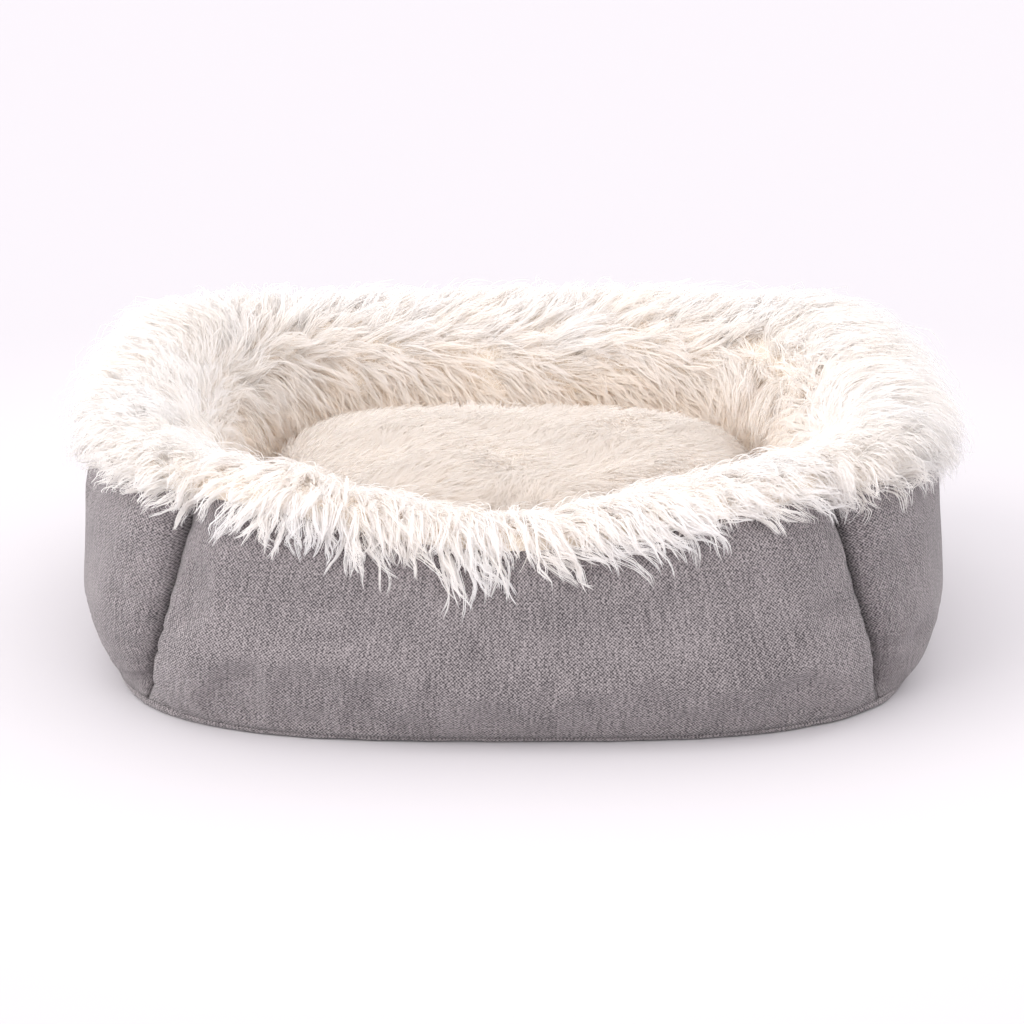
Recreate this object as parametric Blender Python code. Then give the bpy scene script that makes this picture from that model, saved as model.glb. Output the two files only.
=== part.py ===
"""Rectangular bolster bed for a cat or a small dog, with a loose cushion in its well.

Frame: metres, +Z up, the floor is z = 0 and the origin is under the middle of the bed.
+X runs along the long side, and the low entry of the front wall faces -Y.

The wall is one padded ring. A place on it is given by a side of the ring, by `along` from -1 to 1
between that side's two corner seams, and by a station of the wall's cross-section, which starts at
the foot outside, goes over the rim and comes down to the well's floor.
"""
import math

import bmesh
import bpy
import numpy as np
from mathutils import Vector

# ---- driving dimensions -------------------------------------------------------------------------
BASE_HALF_WIDTH = 0.296        # foot of the wall, on the floor
BASE_HALF_DEPTH = 0.246
BASE_ROUNDNESS = 3.2           # power of the superellipse: 2 is an ellipse, more is squarer
BASE_CORNER_SHARE = 0.870      # the corner seams start at this share of the half width
RIM_CORNER_SHARE = 0.735       # and lean in to this one at the rim
WELL_HALF_WIDTH = 0.186        # foot of the wall, inside
WELL_HALF_DEPTH = 0.142
WELL_ROUNDNESS = 4.5
WELL_CORNER_SHARE = 0.888
REAR_RIM_HEIGHT = 0.180        # top of the padded wall, without its pile
FRONT_RIM_HEIGHT = 0.149       # the wall dips in the middle of the front
FOOT_HEIGHT = 0.0042           # the wall's fabric starts just above the welt

FABRIC = 0.0015                # woven cover
PILE = 0.007                   # the packed body of the long pile above its backing
GAP = 0.0003                   # between touching pieces
SEAM_SHARE = 0.0015            # part of a side left free at each corner seam

WELT_RADIUS = 0.0016
BASE_PAD_THICKNESS = 0.012

CUSHION_HALF_WIDTH = 0.184
CUSHION_HALF_DEPTH = 0.136
CUSHION_ROUNDNESS = 5.0
CUSHION_CORNER_SHARE = 0.87
CUSHION_FORWARD = 0.008        # the cushion lies this far in front of the middle
CUSHION_SEAM_HEIGHT = 0.080
CUSHION_CROWN_HEIGHT = 0.133
COVER = 0.0020                 # plush cover of the cushion

ZIP_HALF_LENGTH = 0.090
ZIP_TAPE_HALF_HEIGHT = 0.010
ZIP_TAPE = 0.0010
TEETH_HALF_HEIGHT = 0.0020
TEETH_DEPTH = 0.0018
SLIDER_HALF_LENGTH = 0.0050
SLIDER_HALF_HEIGHT = 0.0038
SLIDER_PLATE = 0.0012
SLIDER_AT_X = 0.078            # closed
EAR_HALF_LENGTH = 0.0018
EAR_INSIDE = 0.0016
EAR_THICKNESS = 0.0010
EYE_RADIUS = 0.0013
EYE_HOLE_RADIUS = 0.00085
PIN_RADIUS = 0.0005
TAB_LENGTH = 0.0115
TAB_THICKNESS = 0.0010
TAB_NECK_LENGTH = 0.0033
TAB_NECK_HALF_WIDTH = 0.0013
TAB_HALF_WIDTH = 0.0027

# ---- cross-section of the wall: (share of the way from the outer foot to the well, share of height)
OUTER_STATIONS = [
    (0.00, 0.00), (-0.13, 0.12), (-0.19, 0.28), (-0.205, 0.45),
    (-0.20, 0.63), (-0.17, 0.78), (-0.105, 0.90),
]
FUR_STATIONS = [
    (-0.097, 0.908), (0.015, 0.972), (0.20, 1.00), (0.40, 0.975), (0.58, 0.88),
    (0.735, 0.70), (0.845, 0.48), (0.93, 0.24), (0.98, 0.100),
]
STATIONS = OUTER_STATIONS + FUR_STATIONS
JOIN = len(OUTER_STATIONS)

SIDES = ("front", "right", "back", "left")
CELLS = {"front": 14, "right": 12, "back": 14, "left": 12}

BASE_PLATE_TOP = FABRIC
PAD_BOTTOM = BASE_PLATE_TOP + GAP
PAD_TOP = PAD_BOTTOM + BASE_PAD_THICKNESS
FLOOR_BOTTOM = PAD_TOP + GAP
FLOOR_TOP = FLOOR_BOTTOM + FABRIC
CUSHION_BOTTOM = FLOOR_TOP + 0.0005


# ---- scene helpers ------------------------------------------------------------------------------
def clear_scene():
    for item in list(bpy.data.objects):
        bpy.data.objects.remove(item, do_unlink=True)


def make_material(name, colour, roughness, metallic=0.0):
    material = bpy.data.materials.new(name)
    material.use_nodes = True
    shader = material.node_tree.nodes["Principled BSDF"]
    shader.inputs["Base Color"].default_value = (*colour, 1.0)
    shader.inputs["Roughness"].default_value = roughness
    shader.inputs["Metallic"].default_value = metallic
    material.diffuse_color = (*colour, 1.0)
    return material


def add_object(name, points, faces, material, origin=(0.0, 0.0, 0.0), smooth_below=40.0):
    """A mesh object whose own origin is `origin`; points are in world metres."""
    mesh = bpy.data.meshes.new(name)
    centre = Vector(origin)
    mesh.from_pydata([Vector(point) - centre for point in points], [], faces)
    builder = bmesh.new()
    builder.from_mesh(mesh)
    bmesh.ops.recalc_face_normals(builder, faces=builder.faces)
    builder.to_mesh(mesh)
    builder.free()
    mesh.materials.append(material)
    mesh.shade_smooth()
    mesh.set_sharp_from_angle(angle=math.radians(smooth_below))
    item = bpy.data.objects.new(name, mesh)
    item.location = centre
    bpy.context.scene.collection.objects.link(item)
    return item


# ---- outlines and the wall's surface ------------------------------------------------------------
def outline_point(half_width, half_depth, roundness, corner_share, side, along):
    """Point of a superellipse, anticlockwise seen from above: front, right, back, left."""
    if side in ("front", "back"):
        across = corner_share * along
        out = (1.0 - abs(across) ** roundness) ** (1.0 / roundness)
        point = np.array([half_width * across, -half_depth * out])
    else:
        corner_out = (1.0 - corner_share ** roundness) ** (1.0 / roundness)
        across = corner_out * along
        out = (1.0 - abs(across) ** roundness) ** (1.0 / roundness)
        point = np.array([half_width * out, half_depth * across])
    return -point if side in ("back", "left") else point


def base_point(side, along, inset=0.0, height=0.0):
    """Point of the outer outline; the corner seams lean in as `height` goes from the foot to the rim."""
    lean = min(height / OUTER_STATIONS[-1][1], 1.0)
    corner_share = BASE_CORNER_SHARE + (RIM_CORNER_SHARE - BASE_CORNER_SHARE) * lean
    return outline_point(BASE_HALF_WIDTH - inset, BASE_HALF_DEPTH - inset,
                         BASE_ROUNDNESS, corner_share, side, along)


def well_point(side, along, inset=0.0):
    return outline_point(WELL_HALF_WIDTH - inset, WELL_HALF_DEPTH - inset,
                         WELL_ROUNDNESS, WELL_CORNER_SHARE, side, along)


def cushion_point(side, along, share):
    point = outline_point(CUSHION_HALF_WIDTH, CUSHION_HALF_DEPTH,
                          CUSHION_ROUNDNESS, CUSHION_CORNER_SHARE, side, along)
    return share * point - np.array([0.0, CUSHION_FORWARD])


def rim_height(side, along):
    if side != "front":
        return REAR_RIM_HEIGHT
    dip = math.cos(0.5 * math.pi * min(abs(along), 1.0)) ** 2
    return REAR_RIM_HEIGHT - (REAR_RIM_HEIGHT - FRONT_RIM_HEIGHT) * dip


def wall_point(side, along, station):
    inward, height = station
    outer = base_point(side, along, height=height)
    plan = (1.0 - inward) * outer + inward * well_point(side, along)
    rise = FOOT_HEIGHT + height * (rim_height(side, along) - FOOT_HEIGHT)
    return np.array([plan[0], plan[1], rise])


def wall_normal(side, along, index):
    """Outward normal of the wall at a station, from its neighbours."""
    step = 0.01
    low = max(index - 1, 0)
    high = min(index + 1, len(STATIONS) - 1)
    around = wall_point(side, along + step, STATIONS[index]) - wall_point(side, along - step, STATIONS[index])
    over = wall_point(side, along, STATIONS[high]) - wall_point(side, along, STATIONS[low])
    normal = np.cross(around, over)
    return normal / np.linalg.norm(normal)


def layer(side, first, last, offset):
    """Grid of points on a side, stations first to last - 1, `offset` out from the surface."""
    grid = []
    for along in side_steps(side):
        row = []
        for index in range(first, last):
            surface = wall_point(side, along, STATIONS[index])
            row.append(surface + offset * wall_normal(side, along, index))
        grid.append(row)
    return np.array(grid)


def side_steps(side):
    reach = 1.0 - SEAM_SHARE
    return np.linspace(-reach, reach, CELLS[side] + 1)


def ring_steps():
    """(side, along) all the way round, with one point at each corner."""
    for side in SIDES:
        for along in np.linspace(-1.0, 1.0, CELLS[side] + 1)[:-1]:
            yield side, along


# ---- closed solids from grids and rings ---------------------------------------------------------
def strip(first, second, faces):
    """Two triangles between each pair of neighbours of two index rows."""
    for near in range(len(first) - 1):
        faces.append((first[near], first[near + 1], second[near + 1]))
        faces.append((first[near], second[near + 1], second[near]))


def make_shell(name, outer, inner, material):
    """A closed skin between two grids of the same size."""
    rows, columns = outer.shape[:2]
    points = np.concatenate([outer.reshape(-1, 3), inner.reshape(-1, 3)])
    front = np.arange(rows * columns).reshape(rows, columns)
    rear = front + rows * columns
    faces = []
    for row in range(rows - 1):
        strip(front[row], front[row + 1], faces)
        strip(rear[row], rear[row + 1], faces)
    strip(front[0], rear[0], faces)
    strip(front[-1], rear[-1], faces)
    strip(front[:, 0], rear[:, 0], faces)
    strip(front[:, -1], rear[:, -1], faces)
    return add_object(name, points, faces, material)


def make_loft(name, rings, material, closed=False):
    """A solid through closed rings: ends meet where `closed`, or get a fan around their middle."""
    count = len(rings[0])
    points = [point for ring in rings for point in ring]
    rows = [np.arange(count) + row * count for row in range(len(rings))]
    rows = [np.append(row, row[0]) for row in rows]
    faces = []
    for row in range(len(rings) - 1):
        strip(rows[row], rows[row + 1], faces)
    if closed:
        strip(rows[-1], rows[0], faces)
    else:
        for row, ring in ((rows[0], rings[0]), (rows[-1], rings[-1])):
            middle = len(points)
            points.append(np.mean(ring, axis=0))
            for near in range(count):
                faces.append((row[near], row[near + 1], middle))
    return add_object(name, points, faces, material)


def make_plate(name, outline, bottom, top, material):
    rings = [[(x, y, height) for x, y in outline] for height in (bottom, top)]
    return make_loft(name, rings, material)


def make_box(name, low, high, material, origin=(0.0, 0.0, 0.0)):
    points = [(x, y, z) for x in (low[0], high[0]) for y in (low[1], high[1]) for z in (low[2], high[2])]
    faces = [(0, 1, 3, 2), (4, 6, 7, 5), (0, 4, 5, 1), (2, 3, 7, 6), (0, 2, 6, 4), (1, 5, 7, 3)]
    return add_object(name, points, faces, material, origin)


def make_upright_rod(name, centre, radius, half_height, material, sides=16):
    rings = []
    for height in (centre[2] - half_height, centre[2] + half_height):
        ring = []
        for side in range(sides):
            turn = 2.0 * math.pi * side / sides
            ring.append((centre[0] + radius * math.cos(turn), centre[1] + radius * math.sin(turn), height))
        rings.append(ring)
    return make_loft(name, rings, material)


def combine(item, operation, other):
    """Join `other` to an object, or cut it away; the helper itself is left out of the build."""
    modifier = item.modifiers.new(other.name, "BOOLEAN")
    modifier.operation = operation
    modifier.object = other
    modifier.solver = "EXACT"
    other.hide_render = True
    other.display_type = "WIRE"


# ---- the bed's wall and base --------------------------------------------------------------------
def build_wall(woven, fur, fibre):
    for side in SIDES:
        make_shell(side + "_outer_panel", layer(side, 0, JOIN, 0.0), layer(side, 0, JOIN, -FABRIC), woven)
        last = len(STATIONS)
        make_shell(side + "_fur_panel", layer(side, JOIN, last, PILE), layer(side, JOIN, last, -FABRIC), fur)
        build_bolster_fill(side, fibre)


def build_bolster_fill(side, fibre):
    """Stuffing of one side: the wall's section inside its cover, down to the base panel."""
    surface = layer(side, 0, len(STATIONS), -(FABRIC + GAP))
    rings = []
    for row, along in zip(surface, side_steps(side)):
        inner_foot = row[-1].copy()
        inner_foot[2] = PAD_BOTTOM
        plan = base_point(side, along, inset=0.006)
        outer_foot = np.array([plan[0], plan[1], PAD_BOTTOM])
        rings.append(list(row) + [inner_foot, outer_foot])
    make_loft(side + "_bolster_fill", rings, fibre)


def build_base(nonslip, woven, foam):
    panel = [base_point(side, along, inset=0.0018) for side, along in ring_steps()]
    make_plate("base_panel", panel, 0.0, BASE_PLATE_TOP, nonslip)
    pad = [well_point(side, along, inset=0.001) for side, along in ring_steps()]
    make_plate("base_pad", pad, PAD_BOTTOM, PAD_TOP, foam)
    make_plate("inner_floor_panel", pad, FLOOR_BOTTOM, FLOOR_TOP, woven)
    build_welt(woven)


def build_welt(woven):
    """Corded seam around the foot: a round section swept along the base outline."""
    section_sides = 8
    centre_height = WELT_RADIUS + 0.0004
    rings = []
    for side, along in ring_steps():
        middle = base_point(side, along, inset=-0.001)
        ahead = base_point(side, along + 0.01) - base_point(side, along - 0.01)
        outward = np.array([ahead[1], -ahead[0]]) / np.linalg.norm(ahead)
        ring = []
        for corner in range(section_sides):
            turn = 2.0 * math.pi * corner / section_sides
            plan = middle + WELT_RADIUS * math.cos(turn) * outward
            ring.append((plan[0], plan[1], centre_height + WELT_RADIUS * math.sin(turn)))
        rings.append(ring)
    make_loft("base_welt", rings, woven, closed=True)


# ---- the cushion --------------------------------------------------------------------------------
CUSHION_SHARES = (0.25, 0.5, 0.7, 0.85, 0.94, 0.985, 1.0)
CUSHION_CELLS = 8


def cushion_ring(share, shrink, height):
    ring = []
    for side in SIDES:
        for along in np.linspace(-1.0, 1.0, CUSHION_CELLS + 1)[:-1]:
            x, y = cushion_point(side, along, share * shrink)
            ring.append((x, y, height))
    return ring


def cushion_side(rise, thickness, edge, fullness):
    """Rings from the middle out to the seam, `thickness` inside the cover's outer face."""
    shrink = 1.0 - thickness / CUSHION_HALF_DEPTH
    rings = []
    for share in CUSHION_SHARES:
        height = edge + (rise - math.copysign(thickness, rise)) * (1.0 - share ** fullness) ** 0.5
        rings.append(cushion_ring(share, shrink, height))
    return rings


def build_cushion(plush, lining, fibre):
    up = CUSHION_CROWN_HEIGHT - CUSHION_SEAM_HEIGHT
    down = CUSHION_BOTTOM - CUSHION_SEAM_HEIGHT
    top_fullness = 4.2
    bottom_fullness = 8.0
    top_edge = CUSHION_SEAM_HEIGHT + 0.5 * GAP
    bottom_edge = CUSHION_SEAM_HEIGHT - 0.5 * GAP
    top_out = cushion_side(up, 0.0, top_edge, top_fullness)
    top_in = cushion_side(up, COVER, top_edge, top_fullness)
    make_loft("cushion_top_cover", top_out + top_in[::-1], plush)
    low_out = cushion_side(down, 0.0, bottom_edge, bottom_fullness)
    low_in = cushion_side(down, COVER, bottom_edge, bottom_fullness)
    make_loft("cushion_bottom_cover", low_out + low_in[::-1], lining)
    fill_top = cushion_side(up, COVER + GAP, top_edge, top_fullness)
    fill_bottom = cushion_side(down, COVER + GAP, bottom_edge, bottom_fullness)
    make_loft("cushion_fill", fill_top + fill_bottom[-2::-1], fibre)


def build_zip(tape_cloth, nickel):
    """Zip in the cushion's back seam: tape with its row of teeth, two stops, slider and pull tab."""
    tape_face = CUSHION_HALF_DEPTH - CUSHION_FORWARD + GAP
    teeth_root = tape_face + ZIP_TAPE
    teeth_top = teeth_root + TEETH_DEPTH
    middle = CUSHION_SEAM_HEIGHT
    profile = [
        (tape_face, -ZIP_TAPE_HALF_HEIGHT), (teeth_root, -ZIP_TAPE_HALF_HEIGHT),
        (teeth_root, -TEETH_HALF_HEIGHT), (teeth_top, -TEETH_HALF_HEIGHT),
        (teeth_top, TEETH_HALF_HEIGHT), (teeth_root, TEETH_HALF_HEIGHT),
        (teeth_root, ZIP_TAPE_HALF_HEIGHT), (tape_face, ZIP_TAPE_HALF_HEIGHT),
    ]
    count = len(profile)
    points = [(end * ZIP_HALF_LENGTH, y, middle + z) for end in (-1, 1) for y, z in profile]
    faces = [tuple(range(count)), tuple(range(count, 2 * count))]
    for near in range(count):
        far = (near + 1) % count
        faces.append((near, far, count + far, count + near))
    add_object("cushion_zip_tape", points, faces, tape_cloth)

    stop_half = 0.0010
    for name, sign in (("zip_stop_left", -1.0), ("zip_stop_right", 1.0)):
        x = sign * (ZIP_HALF_LENGTH - 0.003)
        low = (x - stop_half, teeth_top + GAP, middle - TEETH_HALF_HEIGHT)
        high = (x + stop_half, teeth_top + GAP + 0.0010, middle + TEETH_HALF_HEIGHT)
        make_box(name, low, high, nickel)

    plate_low = teeth_top + GAP
    plate_high = plate_low + SLIDER_PLATE
    pivot = (SLIDER_AT_X, plate_high + EYE_RADIUS + GAP, middle)
    slider_origin = (SLIDER_AT_X, plate_low, middle)
    slider = make_box(
        "zip_slider",
        (SLIDER_AT_X - SLIDER_HALF_LENGTH, teeth_root + GAP, middle - SLIDER_HALF_HEIGHT),
        (SLIDER_AT_X + SLIDER_HALF_LENGTH, plate_high, middle + SLIDER_HALF_HEIGHT),
        nickel, slider_origin)
    channel_half = TEETH_HALF_HEIGHT + GAP
    channel = make_box(
        "slider_channel_cutter",
        (SLIDER_AT_X - 2.0 * SLIDER_HALF_LENGTH, teeth_root - GAP, middle - channel_half),
        (SLIDER_AT_X + 2.0 * SLIDER_HALF_LENGTH, plate_low, middle + channel_half), nickel)
    combine(slider, "DIFFERENCE", channel)
    for name, sign in (("slider_ear_lower", -1.0), ("slider_ear_upper", 1.0)):
        near = middle + sign * EAR_INSIDE
        far = middle + sign * (EAR_INSIDE + EAR_THICKNESS)
        ear = make_box(
            name,
            (SLIDER_AT_X - EAR_HALF_LENGTH, plate_high - 0.5 * SLIDER_PLATE, min(near, far)),
            (SLIDER_AT_X + EAR_HALF_LENGTH, pivot[1] + EYE_RADIUS, max(near, far)), nickel)
        combine(slider, "UNION", ear)
    pin_half = EAR_INSIDE + 0.5 * EAR_THICKNESS
    combine(slider, "UNION", make_upright_rod("slider_pin", pivot, PIN_RADIUS, pin_half, nickel))

    neck_half = TAB_NECK_HALF_WIDTH
    tab = make_upright_rod("zip_pull_tab", pivot, EYE_RADIUS, neck_half, nickel)
    for name, start, end, half in (
            ("tab_neck", 0.5 * (EYE_RADIUS + EYE_HOLE_RADIUS), TAB_NECK_LENGTH + 0.0005, neck_half),
            ("tab_blade", TAB_NECK_LENGTH, TAB_LENGTH, TAB_HALF_WIDTH)):
        part = make_box(
            name,
            (pivot[0] + start, pivot[1] - 0.5 * TAB_THICKNESS, middle - half),
            (pivot[0] + end, pivot[1] + 0.5 * TAB_THICKNESS, middle + half), nickel)
        combine(tab, "UNION", part)
    hole = make_upright_rod("tab_hole_cutter", pivot, EYE_HOLE_RADIUS, 2.0 * neck_half, nickel)
    combine(tab, "DIFFERENCE", hole)
    print("tab pivot", [round(value, 5) for value in pivot])


# ---- build --------------------------------------------------------------------------------------
def main():
    clear_scene()
    woven = make_material("grey_woven_cloth", (0.30, 0.27, 0.28), 0.92)
    fur = make_material("long_pile_white", (0.92, 0.86, 0.82), 0.85)
    fibre = make_material("polyester_fibre", (0.90, 0.90, 0.90), 0.95)
    foam = make_material("base_foam", (0.80, 0.80, 0.76), 0.95)
    nonslip = make_material("nonslip_cloth", (0.22, 0.21, 0.22), 0.90)
    plush = make_material("cream_plush", (0.93, 0.87, 0.82), 0.90)
    lining = make_material("cushion_lining", (0.85, 0.80, 0.75), 0.92)
    tape_cloth = make_material("zip_tape_cloth", (0.86, 0.82, 0.77), 0.80)
    nickel = make_material("nickel_plate", (0.60, 0.60, 0.60), 0.35, 1.0)
    build_wall(woven, fur, fibre)
    build_base(nonslip, woven, foam)
    build_cushion(plush, lining, fibre)
    build_zip(tape_cloth, nickel)


main()
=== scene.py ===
# %% [markdown]
# # A padded pet bed with a long-pile rim
#
# This notebook dresses a pet bed. Its frame is a set of plain solids that say where each piece is
# and how big it may be. Here they get their cloth, their fur and their light. The bed is one padded
# ring, so one surface does most of the work: the grey cloth is that surface, and every hair of the
# fur is combed along it.

# %% Load the frame
import math

import bpy
import numpy as np
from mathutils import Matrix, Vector


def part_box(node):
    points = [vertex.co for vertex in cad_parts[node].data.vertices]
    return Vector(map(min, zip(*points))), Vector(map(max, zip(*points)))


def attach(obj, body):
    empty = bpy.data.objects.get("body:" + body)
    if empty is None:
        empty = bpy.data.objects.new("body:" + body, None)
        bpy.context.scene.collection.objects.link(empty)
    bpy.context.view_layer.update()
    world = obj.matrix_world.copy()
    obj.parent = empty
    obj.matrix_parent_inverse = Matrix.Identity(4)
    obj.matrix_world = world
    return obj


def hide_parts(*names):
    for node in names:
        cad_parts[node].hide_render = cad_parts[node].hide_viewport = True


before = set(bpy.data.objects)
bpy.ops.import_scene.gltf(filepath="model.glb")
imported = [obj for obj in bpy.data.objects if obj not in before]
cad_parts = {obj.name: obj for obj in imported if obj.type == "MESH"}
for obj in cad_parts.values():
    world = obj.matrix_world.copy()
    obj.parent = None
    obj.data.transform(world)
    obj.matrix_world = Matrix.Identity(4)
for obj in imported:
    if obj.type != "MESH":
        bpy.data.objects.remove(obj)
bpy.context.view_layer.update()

# %% [markdown]
# ## The wall's surface
#
# Seen from above, the bed is a squarish oval, which a superellipse draws with one number for how
# square it is. The wall runs from the big oval of the foot to the small oval of the well, so a place
# on it is given by a column, which goes round, and a row, which goes up the outside, over the rim
# and down into the well. Such a grid could also be modelled by hand and subdivided. A formula was
# chosen, because the hairs need to know which way the cloth runs under them.

# %% Sizes from the frame
PANEL_INSET = 0.0018
PILE_BODY = 0.007
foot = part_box("base_panel")[1]
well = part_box("base_pad")[1]
FOOT_HALF = (foot.x + PANEL_INSET, foot.y + PANEL_INSET)
WELL_HALF = (well.x + 0.001, well.y + 0.001)
FOOT_POWER, FOOT_CORNER, RIM_CORNER = 3.2, 0.870, 0.735
WELL_POWER, WELL_CORNER = 4.5, 0.888
FOOT_Z = 0.0042
REAR_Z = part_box("back_fur_panel")[1].z - PILE_BODY
FRONT_Z = REAR_Z - 0.031
SIDES = ("front", "right", "back", "left")
SIDE_COLUMNS = {"front": 136, "right": 104, "back": 136, "left": 104}
OUTER_ROWS = 46
FUR_ROWS = 60
# cross-section: share of the way from the foot in to the well, and share of the rim's height
SECTION = [
    (0.00, 0.00), (-0.11, 0.12), (-0.145, 0.28), (-0.130, 0.45), (-0.105, 0.63), (-0.085, 0.78),
    (-0.012, 0.943), (0.07, 0.983), (0.20, 1.00), (0.40, 0.975), (0.58, 0.88),
    (0.735, 0.70), (0.845, 0.48), (0.93, 0.24), (0.98, 0.100),
]
JOIN_KNOT = 6
print("foot", FOOT_HALF, "well", WELL_HALF, "rim", round(REAR_Z, 4), round(FRONT_Z, 4))


# %% Outline and section
def outline(half, power, corner, side, along):
    """Points of a superellipse on one side, along from -1 to 1 between its two corners.

    `corner` says how far out the corners are. It and `along` may be arrays.
    """
    corner_out = (1.0 - corner ** power) ** (1.0 / power)
    if side in ("front", "back"):
        across = corner * along
        out = (1.0 - np.abs(across) ** power) ** (1.0 / power)
        plan = np.stack([half[0] * across, -half[1] * out], -1)
    else:
        across = corner_out * along
        out = (1.0 - np.abs(across) ** power) ** (1.0 / power)
        plan = np.stack([half[0] * out, half[1] * across], -1)
    return -plan if side in ("back", "left") else plan


def smooth_between(knots, places):
    """Catmull-Rom curve through the knots, read at places from 0 to len(knots) - 1."""
    knots = np.array(knots, float)
    padded = np.concatenate([2 * knots[:1] - knots[1:2], knots, 2 * knots[-1:] - knots[-2:-1]])
    base = np.clip(np.floor(places).astype(int), 0, len(knots) - 2)
    t = (places - base)[:, None]
    a, b, c, d = (padded[base + shift] for shift in range(4))
    return 0.5 * (2 * b + (c - a) * t + (2 * a - 5 * b + 4 * c - d) * t ** 2
                  + (3 * b - a - 3 * c + d) * t ** 3)


def evenly(knots, count, first, last):
    """Places along a knot curve, evenly spaced by its length in millimetres."""
    fine = np.linspace(first, last, 600)
    curve = smooth_between(knots, fine) * np.array([110.0, 170.0])
    run = np.concatenate([[0.0], np.cumsum(np.linalg.norm(np.diff(curve, axis=0), axis=1))])
    return np.interp(np.linspace(0.0, run[-1], count + 1), run, fine)


places = np.concatenate([
    evenly(SECTION, OUTER_ROWS, 0, JOIN_KNOT),
    evenly(SECTION, FUR_ROWS, JOIN_KNOT, len(SECTION) - 1)[1:],
])
section = smooth_between(SECTION, places)
section[:, 1] = np.minimum(section[:, 1], 1.0)

columns = [(side, along) for side in SIDES
           for along in np.linspace(-1.0, 1.0, SIDE_COLUMNS[side] + 1)[:-1]]
column_side = np.array([SIDES.index(side) for side, _ in columns])
column_along = np.array([along for _, along in columns])
lean = np.minimum(section[:, 1] / SECTION[JOIN_KNOT][1], 1.0)
corner_of_row = (FOOT_CORNER + (RIM_CORNER - FOOT_CORNER) * lean)[None]
outer_plan = np.concatenate([
    outline(FOOT_HALF, FOOT_POWER, corner_of_row, side, column_along[column_side == k][:, None])
    for k, side in enumerate(SIDES)])
foot_plan = outer_plan[:, 0]
well_plan = np.concatenate([
    outline(WELL_HALF, WELL_POWER, WELL_CORNER, side, column_along[column_side == k])
    for k, side in enumerate(SIDES)])
dip = np.where(column_side == 0, np.cos(0.5 * np.pi * column_along) ** 2, 0.0)
rim_z = REAR_Z - (REAR_Z - FRONT_Z) * dip

inward, rise = section[:, 0][None, :, None], section[:, 1][None, :]
plan = (1 - inward) * outer_plan + inward * well_plan[:, None]
height = FOOT_Z + rise * (rim_z[:, None] - FOOT_Z)
wall = np.concatenate([plan, height[..., None]], -1)
COLUMNS, ROWS = wall.shape[:2]
print("wall grid", COLUMNS, "x", ROWS)

# %% [markdown]
# ## Soft noise
#
# Stuffing is never even, and neither is fur. Both need random numbers that change slowly from place
# to place. A few sine waves with random directions would repeat visibly, so a coarse random grid is
# blurred between its points instead. It wraps round the ring, and its seed is fixed, so that the bed
# comes out the same each time.


# %% Noise on the ring
def ring_noise(seed, around, across, col, row):
    """Smooth noise from -1 to 1 with about `around` x `across` patches on the whole wall."""
    rng = np.random.default_rng(seed)
    grid = rng.uniform(-1.0, 1.0, (around, across + 3))
    u = np.asarray(col) / COLUMNS * around
    v = np.asarray(row) / (ROWS - 1) * across + 1.0
    iu, iv = np.floor(u).astype(int), np.clip(np.floor(v).astype(int), 0, across + 1)
    fu, fv = u - iu, np.clip(v - iv, 0.0, 1.0)
    fu, fv = fu * fu * (3 - 2 * fu), fv * fv * (3 - 2 * fv)
    low = grid[iu % around, iv] * (1 - fv) + grid[iu % around, iv + 1] * fv
    high = grid[(iu + 1) % around, iv] * (1 - fv) + grid[(iu + 1) % around, iv + 1] * fv
    return low * (1 - fu) + high * fu


def surface_frame(grid):
    """Normals of a grid that closes round its columns, and the size of its cells both ways."""
    around = np.roll(grid, -1, 0) - np.roll(grid, 1, 0)
    across = np.gradient(grid, axis=1) * 2.0
    normal = np.cross(around, across)
    normal /= np.linalg.norm(normal, axis=-1, keepdims=True)
    return normal, np.linalg.norm(around, axis=-1) / 2, np.linalg.norm(across, axis=-1) / 2


col_index, row_index = np.meshgrid(np.arange(COLUMNS), np.arange(ROWS), indexing="ij")
wall_normal, cell_around, cell_across = surface_frame(wall)
seam_columns = np.cumsum([0] + [SIDE_COLUMNS[side] for side in SIDES])
run_around = np.cumsum(cell_around, axis=0) - cell_around[:1]
ring_length = run_around[-1] + cell_around[0]
seam_runs = np.concatenate([run_around[seam_columns[:-1]], ring_length[None]])
seam_distance = np.abs(run_around[:, None] - seam_runs[None]).min(1)
print("round the wall", round(float(ring_length[OUTER_ROWS // 2]), 3), "m")

# %% [markdown]
# ## Stuffing and seams
#
# The corner seams hold the cloth in, and the stuffing pushes it out between them. The seams are
# drawn in first, as a valley, with soft lumps over the whole wall and short cross folds where the
# stitches gather the cloth. Cloth simulation then does what a formula does badly: the cloth is a
# little longer than its place, the air-like pressure of the stuffing pushes it out, and the slack
# goes into small puckers where the stitches hold it.

# %% Lumps and seam valleys
valley = (0.0095 * np.exp(-(seam_distance / 0.018) ** 1.2)
          + 0.0035 * np.exp(-(seam_distance / 0.005) ** 1.5))
over_outer = np.clip((OUTER_ROWS + 8 - row_index) / 14.0, 0.15, 1.0)
foot_hold = np.clip(row_index / 5.0, 0.0, 1.0)
lumps = (0.0016 * ring_noise(3, 18, 5, col_index, row_index)
         + 0.0006 * ring_noise(4, 46, 13, col_index, row_index))
on_end = np.where(column_side % 2 == 1, 1.0, 0.35)[:, None]
puckers = np.sin(1.35 * row_index + 2.5 * ring_noise(6, 30, 8, col_index, row_index))
folds = (0.0017 * on_end * np.exp(-seam_distance / 0.022) * puckers
         * np.clip(1.6 - row_index / 24.0, 0.2, 1.0))
push = (lumps + folds - valley * over_outer) * foot_hold
wall = wall + push[..., None] * wall_normal
wall[..., 2] = np.maximum(wall[..., 2], 0.0040)
print("seams drawn in by", round(float(-push.min()) * 1000, 1), "mm")


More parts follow.
